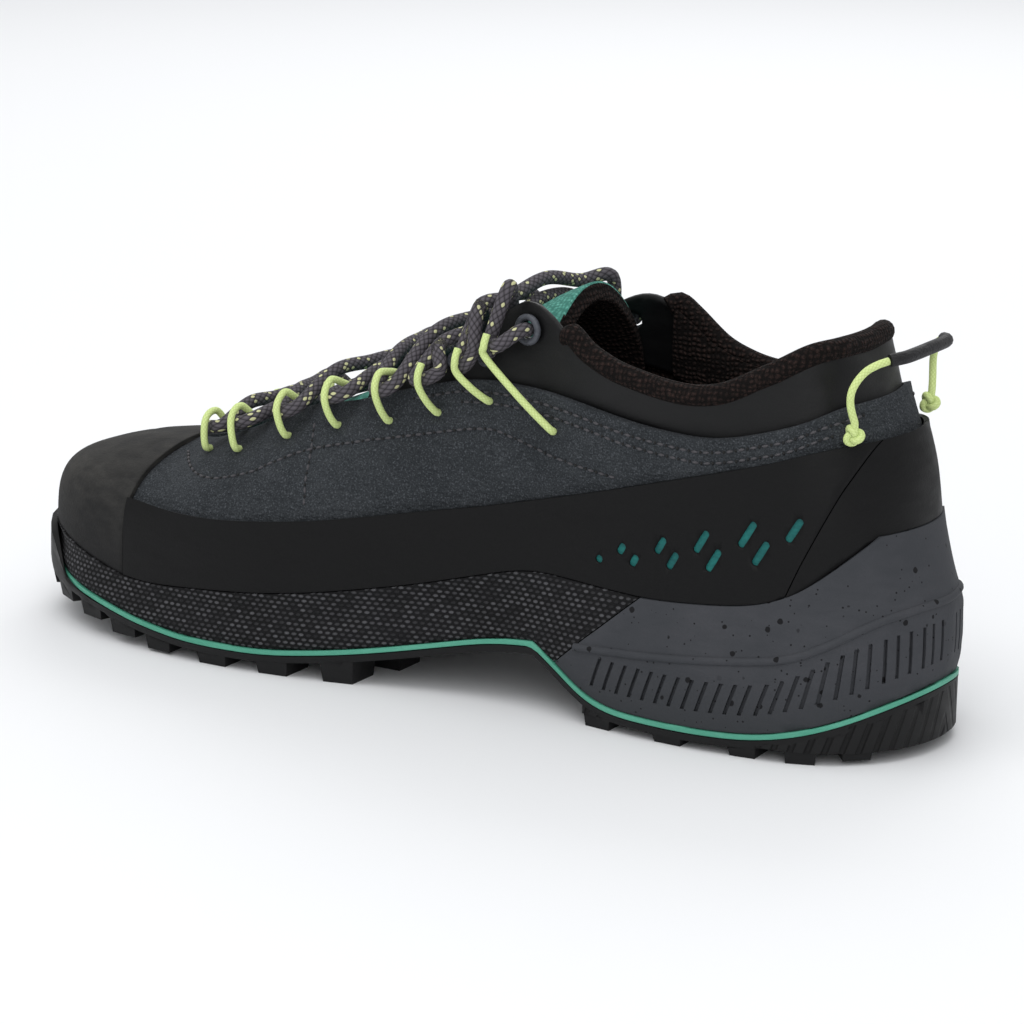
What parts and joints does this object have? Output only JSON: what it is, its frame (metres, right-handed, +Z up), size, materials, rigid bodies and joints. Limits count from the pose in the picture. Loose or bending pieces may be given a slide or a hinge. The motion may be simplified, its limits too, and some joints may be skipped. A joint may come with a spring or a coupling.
{
  "type": "approach shoe",
  "caption": "Low-cut approach shoe for the right foot: suede upper, rubber toe cap and rand, cupped midsole, lugged outsole, tongue, corded lacing and a heel pull loop",
  "frame": {"origin": "bottom centre of the whole shoe's box, on the floor that it stands on", "axes": "+X toward the toe, +Y toward the inner (medial) side of the foot, +Z up"},
  "size_m": [0.2816, 0.0934, 0.1145],
  "materials": {
    "suede": "dark grey napped suede with stitched edges",
    "knit": "aqua air mesh",
    "lining": "brown-black looped mesh",
    "woven_foam": "black foam with a pressed rice-grain weave",
    "heel_foam": "grey foam with dark specks",
    "strip": "matt aqua foam",
    "outsole": "matt black rubber",
    "cuff": "smooth black coated textile",
    "rand": "smooth black rubber with a soft sheen",
    "lace": "dark grey braid with pale yellow flecks",
    "cord": "pale yellow-green round cord",
    "eyelet": "dark lacquered metal ring"
  },
  "bodies": {
    "root": {"upper": "suede", "tongue": "knit", "insole": "lining", "midsole_fore": "woven_foam", "midsole_heel": "heel_foam", "sole_strip": "strip", "outsole": "outsole", "cuff": "cuff", "collar_lining": "lining", "toe_cap": "rand", "rand_medial": "rand", "rand_lateral": "rand", "heel_counter": "rand", "lace_strand_a": "lace", "lace_strand_b": "lace", "lace_loop_medial_1": "cord", "lace_loop_medial_2": "cord", "lace_loop_medial_3": "cord", "lace_loop_medial_4": "cord", "lace_loop_medial_5": "cord", "lace_loop_medial_6": "cord", "lace_loop_medial_7": "cord", "lace_loop_medial_8": "cord", "lace_loop_lateral_1": "cord", "lace_loop_lateral_2": "cord", "lace_loop_lateral_3": "cord", "lace_loop_lateral_4": "cord", "lace_loop_lateral_5": "cord", "lace_loop_lateral_6": "cord", "lace_loop_lateral_7": "cord", "lace_loop_lateral_8": "cord", "eyelet_medial": "eyelet", "eyelet_lateral": "eyelet", "pull_cord_medial": "cord", "pull_cord_lateral": "cord", "pull_knot_medial": "cord", "pull_knot_lateral": "cord", "pull_sleeve": "cuff"}
  },
  "joints": []
}
